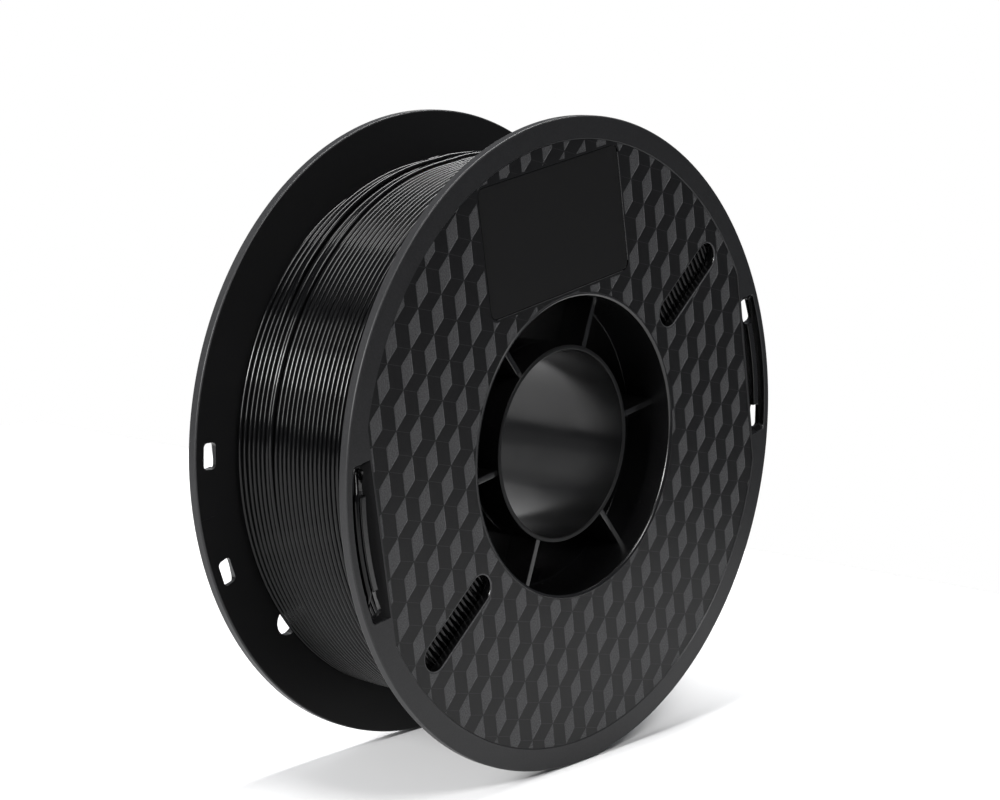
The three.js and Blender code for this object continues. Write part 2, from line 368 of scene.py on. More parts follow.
def flared(outline, depth, rounding):
    """Levels of a pocket cutter whose mouth is rounded over; outline(grow) gives its shape."""
    steps = 4
    stack = [(-CUT, outline(rounding))]
    for i in range(steps + 1):
        down = math.sin(math.pi / 2 * i / steps)
        grow = rounding * (1 - math.sin(math.acos(1 - down)))
        stack.append((rounding * down, outline(grow)))
    stack.append((depth, outline(0)))
    return stack


def inset_polygon(corners, amount):
    """A convex polygon, anticlockwise, with each side moved in by an amount."""
    made = []
    count = len(corners)
    for i in range(count):
        here = corners[i]
        before = (here - corners[i - 1]).normalized()
        after = (corners[(i + 1) % count] - here).normalized()
        corner_sin = before.x * after.y - before.y * after.x
        made.append(here + (after - before) * (amount / corner_sin))
    return made


# ---------------------------------------------------------------- flange

def rounded_profile(corners):
    """An outline of [radius, depth] whose corners given as (r, depth, rounding) are filleted."""
    made = []
    count = len(corners)
    for i, (r, depth, rounding) in enumerate(corners):
        if not rounding:
            made.append((r, depth))
            continue
        here = Vector((r, depth))
        before = (Vector(corners[i - 1][:2]) - here).normalized()
        after = (Vector(corners[(i + 1) % count][:2]) - here).normalized()
        centre = here + (before + after) * rounding
        for step in range(ROUNDING_STEPS + 1):
            turn = math.pi / 2 * step / ROUNDING_STEPS
            made.append(tuple(centre - after * (rounding * math.cos(turn))
                              - before * (rounding * math.sin(turn))))
    return made


def flange_body():
    """Disc, barrel wall and skirt of one flange moulding."""
    inner_face = FLANGE_THICKNESS
    skirt = DRUM_RADIUS - SKIRT_WALL
    return turned_ring("body", rounded_profile([
        (POCKET_RADIUS, 0, MOUTH_ROUNDING),
        (RIM_RADIUS, 0, RIM_ROUNDING),
        (RIM_RADIUS, inner_face, RIM_ROUNDING),
        (DRUM_RADIUS, inner_face, 0),
        (DRUM_RADIUS, SEAM_DEPTH + SKIRT_LENGTH, 0),
        (skirt, SEAM_DEPTH + SKIRT_LENGTH, 0),
        (skirt, SEAM_DEPTH, 0),
        (POCKET_RADIUS, SEAM_DEPTH, 0),
    ]))


def bore_stub():
    """The rounded end of the bore tube."""
    outer = BORE_RADIUS + BORE_WALL
    return turned_ring("stub", rounded_profile([
        (BORE_RADIUS, BORE_DEPTH, BORE_LIP),
        (outer, BORE_DEPTH, BORE_LIP),
        (outer, SEAM_DEPTH, 0),
        (BORE_RADIUS, SEAM_DEPTH, 0),
    ]))


def webs(thickness, near, far, edge):
    """The webs between the bore tube and the barrel, with rounded front edges."""
    inner = BORE_RADIUS + BORE_WALL / 2
    outer = POCKET_RADIUS + WEB_ROOT
    middle = ((inner + outer) / 2, 0)
    corner = 0.05
    steps = 3
    stacks = []
    for i in range(WEB_COUNT):
        angle = 2 * math.pi * i / WEB_COUNT
        stack = []
        for step in range(steps + 1):
            turn = math.pi / 2 * step / steps
            cut = edge * (1 - math.sin(turn))
            size = (outer - inner, thickness - 2 * cut)
            depth = near + edge * (1 - math.cos(turn))
            stack.append((depth, rounded_box(middle, size, corner, angle, 1)))
        size = (outer - inner, thickness)
        stack.append((far, rounded_box(middle, size, corner, angle, 1)))
        stacks.append(stack)
    return loft("webs", stacks)


def side_walls(half_width):
    """An upright strip this wide that takes in the whole height of a flange."""
    tall = RIM_RADIUS
    return [(half_width, -tall), (half_width, tall), (-half_width, tall), (-half_width, -tall)]


def field_recess():
    """The shallow patterned field: a ring with a sloping edge, cut straight beside the clips."""
    ring = turned_ring("field", [
        (FIELD_INNER + FIELD_SLOPE, FIELD_DEPTH),
        (FIELD_INNER, 0),
        (FIELD_INNER, -CUT),
        (FIELD_OUTER, -CUT),
        (FIELD_OUTER, 0),
        (FIELD_OUTER - FIELD_SLOPE, FIELD_DEPTH),
    ])
    top = side_walls(FIELD_HALF_WIDTH)
    low = side_walls(FIELD_HALF_WIDTH - FIELD_SLOPE)
    walls = [(-CUT, top), (0, top), (FIELD_DEPTH + CUT, low)]
    return combine(ring, "INTERSECT", loft("sides", [walls]))


def pattern_area():
    """Where the pattern may cut: the field's floor without the label panel and the windows."""
    ring = turned_ring("area", [
        (FIELD_INNER + EDGE_MARGIN, FIELD_DEPTH + CUT),
        (FIELD_INNER + EDGE_MARGIN, -CUT),
        (FIELD_OUTER - EDGE_MARGIN, -CUT),
        (FIELD_OUTER - EDGE_MARGIN, FIELD_DEPTH + CUT),
    ])
    high = -2 * CUT
    deep = FIELD_DEPTH + 2 * CUT
    walls = side_walls(FIELD_HALF_WIDTH - EDGE_MARGIN)
    combine(ring, "INTERSECT", loft("sides", [[(high, walls), (deep, walls)]]))
    holes = [label_outline(LABEL_CLEARANCE)]
    holes += [window_outline(angle, WINDOW_CLEARANCE) for angle in WINDOW_ANGLES]
    levels = [[(high, hole), (deep, hole)] for hole in holes]
    return combine(ring, "DIFFERENCE", loft("holes", levels))


def block_corners():
    """The corner of each light face of the pattern that could touch the field."""
    across = BLOCK_RISE + BLOCK_FALL
    down = BLOCK_DROP - BLOCK_RISE
    reach = 40
    margin = 6
    for i in range(-reach, reach):
        for j in range(-reach, reach):
            corner = BLOCK_ORIGIN + across * i + down * j
            middle = corner + (BLOCK_RISE + BLOCK_DROP) / 2
            if FIELD_INNER - margin < middle.length < FIELD_OUTER + margin:
                yield corner


def light_faces():
    """The sunk, grained rhombus of each block, with sloping sides."""
    stacks = []
    for corner in block_corners():
        foot = corner + BLOCK_DROP
        rhombus = [corner, foot, foot + BLOCK_RISE, corner + BLOCK_RISE]
        mouth = inset_polygon(rhombus, BLOCK_INSET)
        floor = inset_polygon(rhombus, BLOCK_INSET + BLOCK_SLOPE)
        stacks.append([
            (-CUT / 2, mouth),
            (FIELD_DEPTH, mouth),
            (FIELD_DEPTH + BLOCK_DEPTH, floor),
        ])
    return loft("faces", stacks)


def creases():
    """The fine grooves where two dark faces of the pattern meet."""
    stacks = []
    side = Vector((-BLOCK_FALL.y, BLOCK_FALL.x)).normalized() * (CREASE_WIDTH / 2)
    inner = side * 0.1
    for corner in block_corners():
        for start in (corner + BLOCK_RISE, corner + BLOCK_RISE + BLOCK_DROP):
            a = start + BLOCK_FALL * CREASE_GAP
            b = start + BLOCK_FALL * (1 - CREASE_GAP)
            mouth = [a - side, b - side, b + side, a + side]
            floor = [a - inner, b - inner, b + inner, a + inner]
            stacks.append([
                (-CUT / 2, mouth),
                (FIELD_DEPTH, mouth),
                (FIELD_DEPTH + CREASE_DEPTH, floor),
            ])
    return loft("creases", stacks)


def label_outline(grow):
    """The label's outline, grown by an amount."""
    size = (LABEL_SIZE[0] + 2 * grow, LABEL_SIZE[1] + 2 * grow)
    return rounded_box((0, LABEL_CENTRE), size, LABEL_CORNER + grow)


def window_outline(degrees, grow):
    """The outline of one slotted window, grown by an amount."""
    size = (WINDOW_SIZE[0] + 2 * grow, WINDOW_SIZE[1] + 2 * grow)
    sliver = 0.001
    corner = size[1] / 2 - sliver
    return rounded_box((WINDOW_RADIUS, 0), size, corner, math.radians(degrees), 16)


def clip_hole(side, end):
    """The outline of one of the two holes at the ends of a clip."""
    inner, outer = HOLE_RADII
    low, high = HOLE_SPAN
    middle = end * (low + high) / 2
    lean = math.asin(middle / outer)
    radius = math.hypot(middle, (inner + outer) / 2 * math.cos(lean))
    angle = lean if side > 0 else lean + math.pi
    return rounded_box((radius, 0), (outer - inner, high - low), HOLE_CORNER, angle, 5)


def clip_reach(depth):
    """Half the length of a clip recess, whose ends slope."""
    return CLIP_HALF_LENGTH - CLIP_END_SLOPE * depth


def sunk_outline(side, grow, tall):
    """The deep part of a clip recess, bounded by an arc near the rim."""
    corner = CLIP_CORNER
    outer = CLIP_OUTER + grow
    reach = math.asin((tall - corner) / (outer - corner))
    x = (outer - corner) * math.cos(reach)
    points = [(CLIP_RAMP_FOOT, -tall)]
    points += arc((x, corner - tall), corner, -math.pi / 2, -reach, 6)
    points += arc((0, 0), outer, -reach, reach, 24)
    points += arc((x, tall - corner), corner, reach, math.pi / 2, 6)
    points.append((CLIP_RAMP_FOOT, tall))
    return [(a * side, b * side) for a, b in points]


def ramp(side):
    """The side of a clip recess that slopes down from the flange face."""
    slope = (CLIP_RAMP_FOOT - CLIP_RAMP_TOP) / CLIP_DEPTH
    profile = [
        (CLIP_RAMP_TOP - slope * CUT, -CUT),
        (CLIP_RAMP_FOOT, CLIP_DEPTH),
        (CLIP_RAMP_FOOT + CUT, CLIP_DEPTH),
        (CLIP_RAMP_FOOT + CUT, -CUT),
    ]
    points = []
    for end in (-side, side):
        points += [(x * side, depth, end * clip_reach(depth)) for x, depth in profile]
    count = len(profile)
    faces = [tuple(range(count)), tuple(reversed(range(count, 2 * count)))]
    faces += [(i, (i + 1) % count, (i + 1) % count + count, i + count) for i in range(count)]
    return mesh_object("ramp", points, faces)


def bar(side):
    """The bar that stays standing beside the groove, with rounded upper edges."""
    inner, outer = BAR_RADII
    steps = 4
    stack = []
    for step in range(steps + 1):
        turn = math.pi / 2 * step / steps
        cut = BAR_ROUNDING * (1 - math.sin(turn))
        half = BAR_HALF_LENGTH - cut
        depth = BAR_TOP_DEPTH + BAR_ROUNDING * (1 - math.cos(turn))
        stack.append((depth, strip(inner + cut, outer - cut, half, side)))
    stack.append((CLIP_DEPTH + CUT, strip(inner, outer, BAR_HALF_LENGTH, side)))
    return loft("bar", [stack])


def strip(inner, outer, half, side):
    """An outline between two arcs round the spin axis, with upright ends."""
    outer_reach = math.asin(half / outer)
    inner_reach = math.asin(half / inner)
    points = arc((0, 0), outer, -outer_reach, outer_reach, 20)
    points += arc((0, 0), inner, inner_reach, -inner_reach, 20)
    return [(x * side, z * side) for x, z in points]


def clip_cutter(side):
    """All that is cut away for one clip."""
    edge = flared(lambda grow: grow, CLIP_DEPTH, CLIP_ROUNDING)
    recess = [(depth, sunk_outline(side, grow, clip_reach(depth))) for depth, grow in edge]
    cutter = loft("clip", [recess])
    combine(cutter, "UNION", ramp(side))
    combine(cutter, "DIFFERENCE", bar(side))
    for end in (-1, 1):
        hole = clip_hole(side, end)
        walls = [(HOLE_MOUTH_DEPTH, hole), (FLANGE_THICKNESS + CUT, hole)]
        combine(cutter, "UNION", loft("hole", [walls]))
    return cutter


def flange():
    """One flange moulding in the flange's own frame, its outer face at depth 0."""
    made = flange_body()
    arms = webs(WEB_THICKNESS, WEB_DEPTH, SEAM_DEPTH, WEB_ROUNDING)
    combine(made, "UNION", bore_stub(), arms)
    combine(made, "DIFFERENCE", field_recess())
    for cutter in (light_faces(), creases()):
        combine(cutter, "INTERSECT", pattern_area())
        combine(made, "DIFFERENCE", cutter)
    combine(made, "DIFFERENCE", label_panel())
    for angle in WINDOW_ANGLES:
        combine(made, "DIFFERENCE", window(angle))
    for side in CLIP_SIDES:
        combine(made, "DIFFERENCE", clip_cutter(side))
    return combine(made, "UNION", mould_line())


def label_panel():
    """What is cut away for the sunk panel that the label lies in."""
    levels = flared(lambda grow: label_outline(PANEL_MARGIN + grow), PANEL_DEPTH, PANEL_ROUNDING)
    return loft("panel", [levels])


def window(degrees):
    """What is cut away for one window, rounded over at the field's floor."""
    through = FLANGE_THICKNESS + CUT
    levels = flared(lambda grow: window_outline(degrees, grow), through, WINDOW_ROUNDING)
    return loft("window", [[(depth + FIELD_DEPTH, outline) for depth, outline in levels]])


def mould_line():
    """The ridge that the mould leaves on the inner face beside the left clip."""
    near, far = MOULD_LINE_RADII
    half = MOULD_LINE_WIDTH / 2
    outline = [(-far, -half), (-near, -half), (-near, half), (-far, half)]
    root = FLANGE_THICKNESS - 0.2
    return loft("line", [[(root, outline), (FLANGE_THICKNESS + MOULD_LINE_HEIGHT, outline)]])


def rolled(obj):
    """Turns a mesh about the spin axis to how the spool stands."""
    obj.data.transform(STANDING)
    return obj


def placed(obj, side=-1, name=None):
    """Moves a mesh made against depth to the front (-1) or rear (1) of the spool and rolls it."""
    flip = Matrix.Diagonal((1, -side, 1, 1))
    move = Matrix.Translation((0, side * FACE * MM, 0))
    obj.data.transform(STANDING @ move @ flip)
    if side > 0:
        obj.data.flip_normals()
    if name:
        obj.name = name
        obj.data.name = name
    return obj


def finish_mesh(obj):
    """Smooth shading with sharp edges kept, and flat faces shaded flat."""
    mesh = obj.data
    made = bmesh.new()
    made.from_mesh(mesh)
    bmesh.ops.dissolve_degenerate(made, dist=1e-7, edges=made.edges)
    made.to_mesh(mesh)
    made.free()
    mesh.shade_smooth()
    mesh.set_sharp_from_angle(angle=SHARP_ANGLE)
    weigh = obj.modifiers.new("weigh", "WEIGHTED_NORMAL")
    weigh.keep_sharp = True
    weigh.weight = 100
    return applied(obj)


# ---------------------------------------------------------------- hub core

def hub_core():
    """The middle moulding of the hub, between the two stubs."""
    half = FACE - SEAM_DEPTH - SEAM_GAP
    shoulder = half - SKIRT_LENGTH - SKIRT_GAP
    seat = DRUM_RADIUS - SKIRT_WALL - SKIRT_GAP
    inner = POCKET_RADIUS - SEAM_STEP
    made = turned_ring("hub_core_moulding", rounded_profile([
        (inner, -half, CORE_LIP),
        (seat, -half, 0),
        (seat, -shoulder, 0),
        (DRUM_RADIUS, -shoulder, 0),
        (DRUM_RADIUS, shoulder, 0),
        (seat, shoulder, 0),
        (seat, half, 0),
        (inner, half, CORE_LIP),
    ]))
    outer = BORE_RADIUS + BORE_WALL + SEAM_STEP
    tube = turned_ring("tube", rounded_profile([
        (BORE_RADIUS, -half, 0),
        (outer, -half, CORE_LIP),
        (outer, half, CORE_LIP),
        (BORE_RADIUS, half, 0),
    ]))
    arms = webs(WEB_THICKNESS + 2 * SEAM_STEP, -half, half, CORE_WEB_ROUNDING)
    return rolled(combine(made, "UNION", tube, arms))


# ---------------------------------------------------------------- filament

def swell(value, seed):
    """Smooth random number between about -1 and 1, the same on every run."""
    return noise.noise(Vector((value, seed * 7.31, seed * 1.7)))


def strand_mesh(name, path, sides, closed):
    """A tube of filament along [radius, angle, y] points that run round the spin axis."""
    points = []
    for radius, angle, y in path:
        cos, sin = math.cos(angle), math.sin(angle)
        for i in range(sides):
            turn = 2 * math.pi * i / sides
            r = radius + STRAND * math.cos(turn)
            points.append((r * cos, y + STRAND * math.sin(turn), r * sin))
    return mesh_object(name, points, tube_faces(len(path), sides, closed))


def tube_faces(count, sides, closed):
    """Faces of a tube of count rings: closed on itself, or with a cap at each end."""
    faces = []
    for i in range(count if closed else count - 1):
        a, b = i * sides, (i + 1) % count * sides
        for j in range(sides):
            k = (j + 1) % sides
            faces.append((a + j, a + k, b + k, b + j))
    if not closed:
        faces.append(tuple(range(sides)))
        last = (count - 1) * sides
        faces.append(tuple(reversed(range(last, last + sides))))
    return faces


def slack(angle):
    """How far the slack turns stand out at an angle in radians."""
    away = (math.degrees(angle) - SLACK_MIDDLE + 180) % 360 - 180
    share = min(1, abs(away) / SLACK_REACH)
    return SLACK_HEIGHT * math.cos(share * math.pi / 2) ** 2


def ease(value):
    """Smooth step from 0 to 1."""
    value = min(1, max(0, value))
    return value * value * (3 - 2 * value)


def helix(steps, first, seed, wide):
    """Positions across the winding of a layer's turns, a list with steps points a turn."""
    span = 2 * EDGE
    y = [first + PITCH * i / steps for i in range(steps)]
    while y[-1] < span:
        uneven = UNEVEN_PITCH * swell(len(y) / steps * 2.1, seed)
        extra = wide(y[-steps] / span) + uneven
        y.append(y[-steps] + PITCH + extra)
    return [place - EDGE for place in y]


def outer_gaps(share):
    """Extra pitch across the outer layer: looser beside both flanges and towards the rear."""
    front, front_fade = FRONT_GAP
    rear, rear_fade = REAR_GAP
    spread_out, begins, takes = REAR_SPREAD
    gaps = front * math.exp(-share / front_fade) + rear * math.exp(-(1 - share) / rear_fade)
    return gaps + spread_out * ease((share - begins) / takes)


def outer_route():
    """Radius and y along the last turn, which lies on the outer layer, and then the layer."""
    lead = int(LEAD_TURNS * OUTER_STEPS)
    start_y = tail_depth(180 - TAIL_START) - FACE
    wander = 0.6
    layer = WINDING_RADIUS - STRAND
    route = []
    for i in range(lead):
        along = i / lead
        y = start_y + (-EDGE - start_y) * ease(along) + wander * math.sin(math.pi * along) ** 2
        route.append((ON_WINDING, y))
    for i, y in enumerate(helix(OUTER_STEPS, 0, 1, outer_gaps)):
        up = 1 - ease(i / (CLIMB_TURNS * OUTER_STEPS))
        route.append((layer + (ON_WINDING - layer) * up, y))
    return route


def outer_turns():
    """The outermost layer and the last turn, which leads into the tail."""
    route = outer_route()
    path = []
    for i, (radius, y) in enumerate(route):
        turn = i / OUTER_STEPS
        radius -= DIVE_DEPTH * ease((i - len(route)) / (DIVE_TURNS * OUTER_STEPS) + 1)
        angle = math.radians(TAIL_START + TAIL_OVERLAP) - 2 * math.pi * turn
        radius += RADIUS_WAVE * swell(turn * 2.3, 6)
        y += SIDE_WAVE * swell(turn * 5.7, 10)
        for middle, half, shift, lift in STRAYS:
            bump = ease(1 - abs(turn - middle) / half)
            y += shift * bump
            radius += lift * min(1, 2.5 * bump)
        y = min(EDGE, max(-EDGE, y))
        path.append((radius + slack(angle), angle, y))
    return strand_mesh("outer", path, 14, False)


def under_turns():
    """The layer below, wound the other way, that shows in the gaps."""
    radius = WINDING_RADIUS - STRAND - LAYER_RISE
    path = []
    for i, y in enumerate(helix(INNER_STEPS, 0.6, 2, lambda share: 0.04)):
        angle = 0.4 + 2 * math.pi * i / INNER_STEPS
        path.append((radius + slack(angle), angle, y))
    return strand_mesh("under", path, 10, False)


def side_rings(side):
    """The turns that lie against one flange, a stack of them from the drum outwards."""
    parts = []
    inner = DRUM_RADIUS + STRAND + GAP
    outer = WINDING_RADIUS - STRAND - 1.0
    for row in range(SIDE_ROWS):
        share = row / (SIDE_ROWS - 1)
        radius = inner + (outer - inner) * share
        base = SIDE_ROW_GAPS[row % 2]
        path = []
        for i in range(INNER_STEPS):
            angle = 2 * math.pi * i / INNER_STEPS
            wave = Vector((2 * math.cos(angle), 2 * math.sin(angle), row * 3.1 + side))
            away = base + 0.25 * noise.noise(wave)
            y = side * (FACE - FLANGE_THICKNESS - STRAND - max(SIDE_ROW_NEAREST, away))
            reach = radius + slack(angle) * share + 0.12 * noise.noise(wave * 1.7)
            path.append((reach, angle, y))
        parts.append(strand_mesh(f"ring_{row}", path, 10, True))
    return parts


def bulk():
    """The body of the winding behind the turns that can be seen."""
    half = FACE - FLANGE_THICKNESS - SIDE_ROW_WIDTH
    inner = DRUM_RADIUS + 0.1
    outer = WINDING_RADIUS - STRAND - LAYER_RISE - 0.7
    points = []
    for i in range(INNER_STEPS):
        angle = 2 * math.pi * i / INNER_STEPS
        cos, sin = math.cos(angle), math.sin(angle)
        far = outer + slack(angle)
        section = ((inner, -half), (far, -half), (far, half), (inner, half))
        points += [(r * cos, y, r * sin) for r, y in section]
    return mesh_object("bulk", points, tube_faces(INNER_STEPS, len(section), True))


def winding():
    """The wound filament: its outer layers, the turns against the flanges and the bulk inside."""
    parts = [outer_turns(), under_turns(), bulk()]
    for side in (-1, 1):
        parts += side_rings(side)
    return joined("wound_filament", parts)


def joined(name, parts):
    """Several meshes as one object."""
    points = []
    faces = []
    for part in parts:
        base = len(points)
        points += [v.co.copy() for v in part.data.vertices]
        faces += [tuple(base + v for v in p.vertices) for p in part.data.polygons]
        bpy.data.objects.remove(part)
    mesh = bpy.data.meshes.new(name)
    mesh.from_pydata(points, [], faces)
    return linked(name, mesh)


def tail_depth(degrees):
    """How deep the tail lies, by its angle from the middle of the clip."""
    groove = CLIP_DEPTH - STRAND - 0.1
    behind = FLANGE_THICKNESS + GAP + STRAND
    start, end = TAIL_DIP
    along = min(1, max(0, (degrees - start) / (end - start)))
    through = 0.6 * along + 0.4 * ease(along)
    drift = 0.05
    return groove + (behind - groove) * through + max(0, degrees - end) * drift


def tail_route():
    """Points along the free end, from the winding through the clip, [x, depth, z]."""
    lift = math.acos(ON_WINDING / TAIL_RADIUS)
    leaves = math.radians(TAIL_DIP[0]) + lift
    step = 0.5
    centres = []
    degrees = 180 - TAIL_START
    while degrees >= TAIL_END:
        past = math.radians(degrees)
        climb = min(lift, max(0, leaves - past))
        distance = ON_WINDING / math.cos(climb)
        x, z = -distance * math.cos(past), distance * math.sin(past)
        centres.append(Vector((x, tail_depth(abs(degrees)), z)))
        degrees -= step
    return centres


def tail():
    """The free end of the filament, its very end cut with a softened edge."""
    centres = tail_route()
    sides = 16
    points = []
    shrink = [1.0] * (len(centres) - 1) + [0.8]
    for i, centre in enumerate(centres):
        ahead = centres[min(i + 1, len(centres) - 1)] - centres[max(i - 1, 0)]
        across = ahead.cross(Vector((0, 1, 0))).normalized()
        up = across.cross(ahead).normalized()
        for j in range(sides):
            turn = 2 * math.pi * j / sides
            reach = STRAND * shrink[i]
            points.append(centre + (across * math.cos(turn) + up * math.sin(turn)) * reach)
    return mesh_object("filament_end", points, tube_faces(len(centres), sides, False))


# ---------------------------------------------------------------- label

def label():
    """The blank label, a thin sheet with softened edges."""
    top = LABEL_TOP_DEPTH
    return loft("blank_label", [[
        (top, label_outline(-LABEL_EDGE)),
        (top + 0.4 * LABEL_EDGE, label_outline(-0.3 * LABEL_EDGE)),
        (top + LABEL_EDGE, label_outline(0)),
        (top + LABEL_THICKNESS, label_outline(0)),
    ]])


# ---------------------------------------------------------------- materials

def black(tone):
    """A grey this light, with a trace of blue."""
    return (tone, tone, tone * 1.04)


def material(name, colour, roughness, specular):
    """A plain material to build on, and its node tree."""
    made = bpy.data.materials.new(name)
    made.use_nodes = True
    shader = made.node_tree.nodes["Principled BSDF"]
    shader.inputs["Base Color"].default_value = (*colour, 1)
    shader.inputs["Roughness"].default_value = roughness
    shader.inputs["Specular IOR Level"].default_value = specular
    return made, made.node_tree


def grain(tree, scale, detail, roughness=0.5):
    """Noise in object space. Scale is in features per metre."""
    place = tree.nodes.new("ShaderNodeTexCoord")
    made = tree.nodes.new("ShaderNodeTexNoise")
    made.inputs["Scale"].default_value = scale
    made.inputs["Detail"].default_value = detail
    made.inputs["Roughness"].default_value = roughness
    tree.links.new(place.outputs["Object"], made.inputs["Vector"])
    return made.outputs["Fac"]


def vary_roughness(tree, source, low, high):
    """Roughness between low and high that follows a noise."""
    made = tree.nodes.new("ShaderNodeMapRange")
    made.inputs["From Min"].default_value, made.inputs["From Max"].default_value = NOISE_RANGE
    made.inputs["To Min"].default_value = low
    made.inputs["To Max"].default_value = high
    tree.links.new(source, made.inputs["Value"])
    tree.links.new(made.outputs["Result"], tree.nodes["Principled BSDF"].inputs["Roughness"])


def vary_colour(tree, source, dark, light):
    """Base colour between two colours that follows a noise."""
    made = tree.nodes.new("ShaderNodeValToRGB")
    for end, place, colour in zip(made.color_ramp.elements, NOISE_RANGE, (dark, light)):
        end.position = place
        end.color = (*colour, 1)
    tree.links.new(source, made.inputs["Fac"])
    tree.links.new(made.outputs["Color"], tree.nodes["Principled BSDF"].inputs["Base Color"])


def add_bump(tree, source, strength, distance):
    """Small relief that follows a noise."""
    made = tree.nodes.new("ShaderNodeBump")
    made.inputs["Strength"].default_value = strength
    made.inputs["Distance"].default_value = distance
    tree.links.new(source, made.inputs["Height"])
    tree.links.new(made.outputs["Normal"], tree.nodes["Principled BSDF"].inputs["Normal"])


def black_plastic(name):
    """Black polystyrene with a faint mould finish, in one of the finishes."""
    tone, roughness, specular = FINISHES[name]
    made, tree = material(name, black(tone), roughness, specular)
    fine = grain(tree, 2600, 4)
    vary_colour(tree, fine, black(tone * 0.75), black(tone * 1.25))
    vary_roughness(tree, fine, roughness - 0.04, roughness + 0.05)
    add_bump(tree, grain(tree, 1800, 2), 0.08, 0.00004)
    return made


def grained_plastic():
    """The same plastic with the sparkling spark-eroded grain of the light faces."""
    made, tree = material("grained_plastic", (0.03, 0.03, 0.031), 0.62, 0.25)
    sparks = grain(tree, 2400, 3, 0.7)
    vary_colour(tree, sparks, (0.001, 0.001, 0.0011), (0.062, 0.062, 0.064))
    vary_roughness(tree, sparks, 0.5, 0.72)
    add_bump(tree, sparks, 0.5, 0.00008)
    return made


def hub_plastic():
    """Polished black plastic of the hub and its bore."""
    made, tree = material("hub_plastic", (0.0015, 0.0015, 0.0016), 0.22, 0.36)
    vary_roughness(tree, grain(tree, 60, 2), 0.18, 0.27)
    return made


def filament_plastic():
    """Glossy extruded filament, its gloss wandering slightly along its length."""
    made, tree = material("filament_plastic", (0.0008, 0.0008, 0.0009), 0.12, 0.17)
    vary_roughness(tree, grain(tree, 180, 3), 0.10, 0.18)
    return made


def label_paper():
    """Flat matt black label stock."""
    made, tree = material("label_paper", (0.004, 0.004, 0.0041), 0.75, 0.12)
    dark, light = (0.0036, 0.0036, 0.0037), (0.0044, 0.0044, 0.0045)
    vary_colour(tree, grain(tree, 5200, 3), dark, light)
    return made


def floor_paint():
    """Pale, even studio floor."""
    made, tree = material("floor_paint", (0.52, 0.52, 0.52), 0.6, 0.2)
    dark, light = (0.51, 0.51, 0.512), (0.53, 0.53, 0.532)
    vary_colour(tree, grain(tree, 3, 1), dark, light)
    return made


def paint_flange(obj, *materials):
    """Gives six finishes, from satin to matt, to the faces of a flange by place. The darker copies on
    the inner faces, in the pocket, the clip recesses and the windows are painted shade.
    """
    obj.data.materials.clear()
    for made in materials:
        obj.data.materials.append(made)
    for face in obj.data.polygons:
        face.material_index = flange_finish(face)


def flange_finish(face):
    """Which of a flange's six finishes a face has."""
    satin, grained, dull, polished, glossy, matt = range(6)
    near = 0.005
    x, depth, z = face.center / MM
    radius = math.hypot(x, z)
    facing = abs(face.normal.y)
    flat = facing > 0.99
    in_pattern = FIELD_INNER < radius < FIELD_OUTER and abs(x) < FIELD_HALF_WIDTH
    if in_pattern and FIELD_DEPTH + near < depth < FIELD_DEPTH + BLOCK_DEPTH + near:
        crease = 0.9 < facing and not flat
        return satin if crease else grained
    if in_pattern and flat and depth < FIELD_DEPTH + near:
        return dull
    # Inner faces: the dull finish's darker tone here is painted shade between flange and winding
    if flat and abs(depth - FLANGE_THICKNESS) < MOULD_LINE_HEIGHT + near:
        return dull
    if radius < BORE_RADIUS + BORE_WALL + near and depth < BORE_DEPTH + BORE_LIP:
        return dull
    # Pocket walls: the hub's smooth polished plastic, and its darker tone here is painted shade
    if radius < POCKET_RADIUS + 0.1 and depth > 0.9 * MOUTH_ROUNDING and facing < 0.5:
        return polished
    # Clip recesses, windows and other sunk faces: the glossy finish's darker tone here is painted shade
    if radius < CLIP_OUTER + near and (depth > FIELD_DEPTH - near or radius < FIELD_INNER):
        # Sloping faces of a clip recess: the matt copy is painted shade
        slope = 0.6 < facing and not flat
        return matt if slope and radius > CLIP_RAMP_TOP else glossy
    return satin


# ---------------------------------------------------------------- studio

def studio_camera():
    """The camera, level, looking at the spool from the front left and a little above."""
    azimuth, elevation = math.radians(CAMERA_AZIMUTH), math.radians(CAMERA_ELEVATION)
    back = Vector((math.sin(azimuth) * math.cos(elevation),
                   -math.cos(azimuth) * math.cos(elevation), math.sin(elevation)))
    right = Vector((math.cos(azimuth), math.sin(azimuth), 0))
    up = back.cross(right)
    data = bpy.data.cameras.new("camera")
    data.sensor_width = CAMERA_SENSOR
    data.lens = CAMERA_LENS
    place = back * CAMERA_DISTANCE
    aim = right * CAMERA_AIM_RIGHT + up * CAMERA_AIM_UP
    bpy.context.scene.camera = pointed(linked("camera", data), place, aim)


def pointed(obj, place, aim):
    """Puts a camera or a light at a place and points it at another."""
    obj.location = place
    obj.rotation_mode = "QUATERNION"
    obj.rotation_quaternion = (Vector(aim) - Vector(place)).to_track_quat("-Z", "Y")
    return obj


def softbox(name, place, aim, size, power):
    """A rectangular studio light that the camera doesn't see."""
    data = bpy.data.lights.new(name, "AREA")
    data.shape = "RECTANGLE"
    data.size, data.size_y = size
    data.energy = power
    made = pointed(linked(name, data), place, aim)
    made.visible_camera = False


def studio_floor():
    """A pale floor just under the rims, running far out towards the left softbox."""
    left, right, front, back = FLOOR_EDGES
    count = FLOOR_CELLS
    gap = 0.0002
    z = -RIM_RADIUS * MM - gap
    across = [left + (right - left) * i / count for i in range(count + 1)]
    along = [front + (back - front) * i / count for i in range(count + 1)]
    points = [(x, y, z) for y in along for x in across]
    faces = []
    for j in range(count):
        for i in range(count):
            a = j * (count + 1) + i
            faces.append((a, a + 1, a + count + 2, a + count + 1))
    mesh = bpy.data.meshes.new("floor")
    mesh.from_pydata(points, [], faces)
    mesh.materials.append(floor_paint())
    linked("floor", mesh)


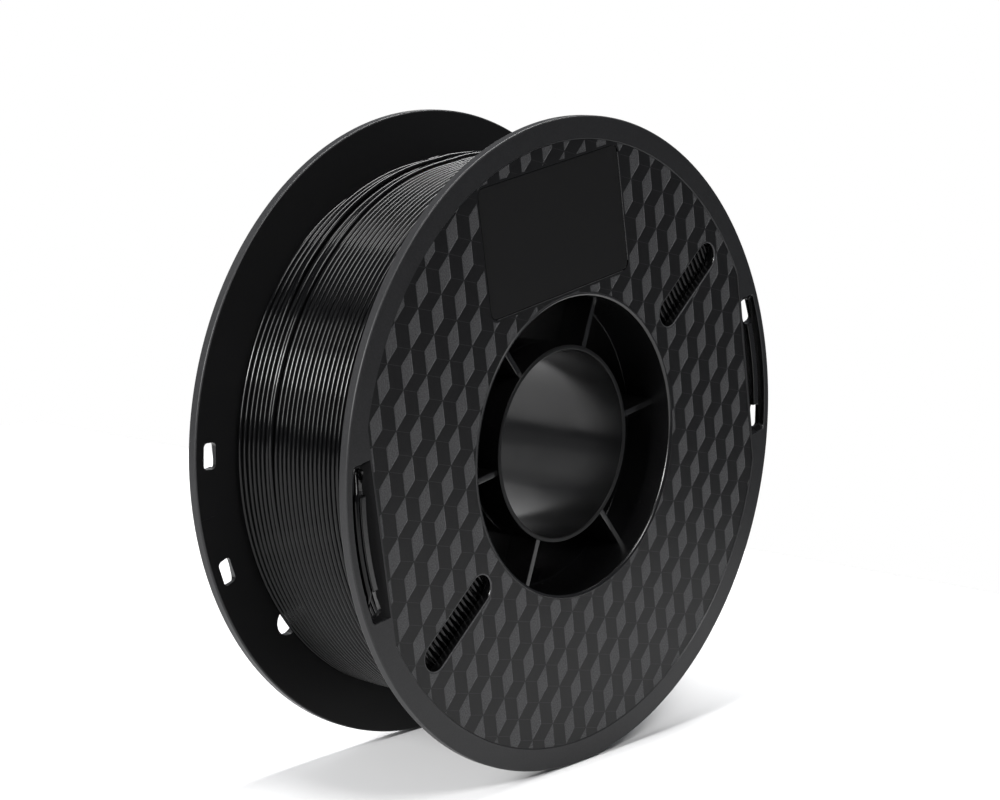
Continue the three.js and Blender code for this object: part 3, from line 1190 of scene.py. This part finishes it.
def studio_world():
    """A white surround for the camera that lights the spool only gently."""
    world = bpy.data.worlds.new("studio")
    bpy.context.scene.world = world
    world.use_nodes = True
    nodes, links = world.node_tree.nodes, world.node_tree.links
    nodes.clear()
    out = nodes.new("ShaderNodeOutputWorld")
    mix = nodes.new("ShaderNodeMixShader")
    seen = nodes.new("ShaderNodeLightPath")
    dim = nodes.new("ShaderNodeBackground")
    white = nodes.new("ShaderNodeBackground")
    dim.inputs["Color"].default_value = (0.9, 0.93, 1, 1)
    dim.inputs["Strength"].default_value = LIGHTING_WORLD
    white.inputs["Color"].default_value = (1, 1, 1, 1)
    white.inputs["Strength"].default_value = SEEN_WORLD
    links.new(seen.outputs["Is Camera Ray"], mix.inputs["Fac"])
    links.new(dim.outputs["Background"], mix.inputs[1])
    links.new(white.outputs["Background"], mix.inputs[2])
    links.new(mix.outputs["Shader"], out.inputs["Surface"])


def studio():
    """Camera, surround, floor and lights."""
    studio_camera()
    studio_world()
    studio_floor()
    for name, (place, aim, size, power) in SOFTBOXES.items():
        softbox(name, place, aim, size, power)
    bpy.context.scene.view_settings.view_transform = "Standard"


# ---------------------------------------------------------------- assembly

def keep(obj, slot, *nodes):
    """Puts a finished piece under the spool's one body and hides the CAD nodes it stands for."""
    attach(obj, "root")
    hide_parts(*nodes)


def painted(obj, made):
    """The object with one material."""
    obj.data.materials.clear()
    obj.data.materials.append(made)
    return obj


def build_flanges(polished):
    """The two flange mouldings, one the mirror image of the other."""
    front = flange()
    paint_flange(front, black_plastic("satin_plastic"), grained_plastic(), black_plastic("dull_and_shade_plastic"),
                 polished, black_plastic("glossy_and_shade_plastic"), black_plastic("matt_shade_plastic"))
    rear = linked("rear", front.data.copy())
    finish_mesh(placed(front, -1, "front_flange_moulding"))
    finish_mesh(placed(rear, 1, "rear_flange_moulding"))
    keep(front, "moulded_plastic", "front_flange")
    keep(rear, "moulded_plastic", "rear_flange")


def build_filament():
    """The wound filament and its free end."""
    gloss = filament_plastic()
    wound = painted(rolled(winding()), gloss)
    wound.data.shade_smooth()
    keep(wound, "filament", "filament_winding")

    end = painted(placed(tail()), gloss)
    end.data.shade_smooth()
    end.data.set_sharp_from_angle(angle=TAIL_SHARP_ANGLE)
    keep(end, "filament", "filament_tail")


def build():
    """Every piece of the spool."""
    polished = hub_plastic()
    build_flanges(polished)
    keep(painted(finish_mesh(hub_core()), polished), "hub_plastic", "hub_core")
    build_filament()
    keep(painted(finish_mesh(placed(label())), label_paper()), "label", "front_label")


studio()
build()
